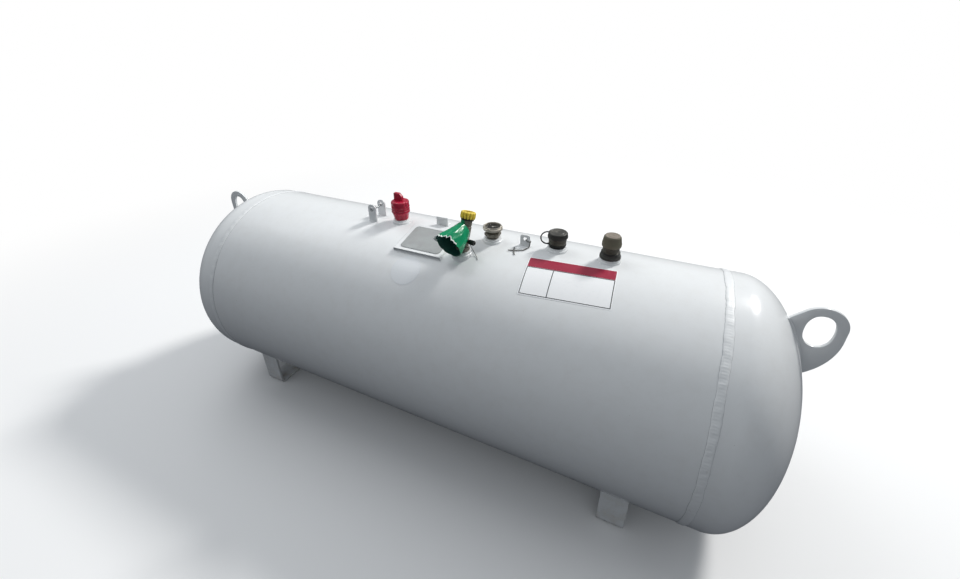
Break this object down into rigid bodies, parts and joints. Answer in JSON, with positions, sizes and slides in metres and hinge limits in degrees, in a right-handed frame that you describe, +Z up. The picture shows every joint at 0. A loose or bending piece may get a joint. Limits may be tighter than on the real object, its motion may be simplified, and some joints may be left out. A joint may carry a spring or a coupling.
{
  "type": "horizontal pressure tank",
  "caption": "White horizontal pressure tank with domed ends, lifting lugs, two strap legs, and a row of capped valves, a gauge and hood brackets along its top.",
  "frame": {"origin": "on the ground below the middle of the tank", "axes": "+X along the tank to its right end, +Y to its back, +Z up"},
  "size_m": [2.3274, 0.767, 0.9323],
  "materials": {
    "white_paint": "gloss",
    "bright_steel": "satin",
    "nameplate_sheet": "satin",
    "valve_brass": "satin",
    "red_plastic": "satin",
    "valve_metal": "dull",
    "yellow_plastic": "satin",
    "green_plastic": "gloss",
    "dark_plastic": "matte",
    "gauge_metal": "dull",
    "dial_face": "satin",
    "dark_brass": "dull",
    "black_plastic": "satin",
    "brown_plastic": "satin"
  },
  "bodies": {
    "root": {"shell": "white_paint", "left_head": "white_paint", "right_head": "white_paint", "left_girth_weld": "white_paint", "right_girth_weld": "white_paint", "long_seam": "white_paint", "left_lifting_lug": "white_paint", "right_lifting_lug": "white_paint", "left_leg": "white_paint", "right_leg": "white_paint", "front_hinge_ear": "white_paint", "rear_hinge_ear": "white_paint", "hinge_pin": "bright_steel", "latch_tab": "white_paint", "latch_wire": "bright_steel", "hood_stop": "white_paint", "nameplate_bracket": "white_paint", "nameplate": "nameplate_sheet", "relief_coupling": "white_paint", "relief_valve": "valve_brass", "relief_cap": "red_plastic", "service_coupling": "white_paint", "service_valve": "valve_metal", "service_handwheel": "yellow_plastic", "service_sleeve": "green_plastic", "bleeder_stub": "dark_plastic", "gauge_coupling": "white_paint", "gauge_body": "valve_metal", "gauge_ring": "gauge_metal", "gauge_dial": "dial_face", "filler_coupling": "white_paint", "filler_valve": "dark_brass", "filler_cap": "black_plastic", "filler_strap": "dark_plastic", "vapour_coupling": "white_paint", "vapour_valve": "valve_metal", "vapour_cap": "brown_plastic", "vapour_strap": "dark_plastic"}
  },
  "joints": []
}
